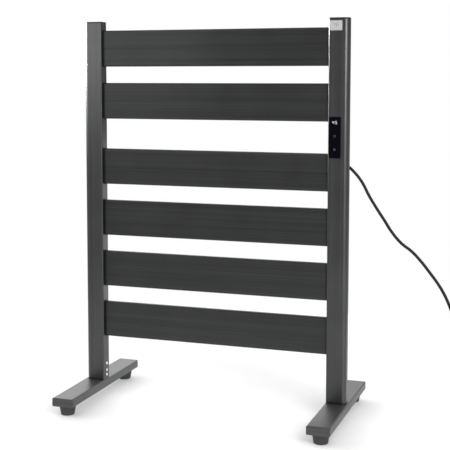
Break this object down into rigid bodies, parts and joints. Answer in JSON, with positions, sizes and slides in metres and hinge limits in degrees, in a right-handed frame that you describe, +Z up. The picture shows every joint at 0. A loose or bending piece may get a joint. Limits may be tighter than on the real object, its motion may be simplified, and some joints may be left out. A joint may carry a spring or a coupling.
{
  "type": "free-standing electric towel warmer rack",
  "caption": "Free-standing electric towel warmer: flat heated bars between two posts on foot bars, with a touch panel on the right post and a mains cord.",
  "frame": {"origin": "on the floor plane, at the centre of the rack's footprint without the cord", "axes": "+Z up along the posts, -Y towards the front with the touch panel, +X towards the post that holds the panel and the cord"},
  "size_m": [1.04, 0.364, 0.9],
  "materials": {
    "frame": "satin anthracite with a fine brushed grain along each profile",
    "bracket": "plain mill",
    "zinc": "zinc plated",
    "black_plastic": "fine satin",
    "rubber": "matt",
    "silicone": "silicone insulation",
    "panel_glass": "polished black",
    "circuit_board": "solder mask",
    "ivory_plastic": "moulded",
    "label": "blank silver plate",
    "cord": "satin flexible sheath"
  },
  "bodies": {
    "root": {"left_post": "frame", "left_post_cap": "black_plastic", "right_post": "frame", "right_post_cap": "black_plastic", "slat_1": "frame", "heating_cable_1": "silicone", "slat_2": "frame", "heating_cable_2": "silicone", "slat_3": "frame", "heating_cable_3": "silicone", "slat_4": "frame", "heating_cable_4": "silicone", "slat_5": "frame", "heating_cable_5": "silicone", "slat_6": "frame", "heating_cable_6": "silicone", "left_foot_bar": "frame", "left_spigot": "bracket", "left_front_foot_cap": "frame", "left_front_rubber_foot": "rubber", "left_front_rubber_foot_screw": "zinc", "left_rear_foot_cap": "frame", "left_rear_rubber_foot": "rubber", "left_rear_rubber_foot_screw": "zinc", "left_spigot_bolt_1": "zinc", "left_spigot_bolt_2": "zinc", "left_post_screw_1": "zinc", "left_post_screw_2": "zinc", "left_post_screw_3": "zinc", "right_foot_bar": "frame", "right_spigot": "bracket", "right_front_foot_cap": "frame", "right_front_rubber_foot": "rubber", "right_front_rubber_foot_screw": "zinc", "right_rear_foot_cap": "frame", "right_rear_rubber_foot": "rubber", "right_rear_rubber_foot_screw": "zinc", "right_spigot_bolt_1": "zinc", "right_spigot_bolt_2": "zinc", "right_post_screw_1": "zinc", "right_post_screw_2": "zinc", "right_post_screw_3": "zinc", "touch_panel": "panel_glass", "panel_housing": "black_plastic", "control_board": "circuit_board", "display_module": "black_plastic", "power_key_spring": "zinc", "timer_key_spring": "zinc", "label_plate": "label", "power_board": "circuit_board", "terminal_block": "ivory_plastic", "thermal_cutout": "ivory_plastic", "wiring_harness": "silicone", "earth_screw": "zinc", "cord_strain_relief": "black_plastic", "mains_cord": "cord", "mains_cord_coil": "cord", "coil_tie": "black_plastic", "mains_plug": "cord"}
  },
  "joints": []
}
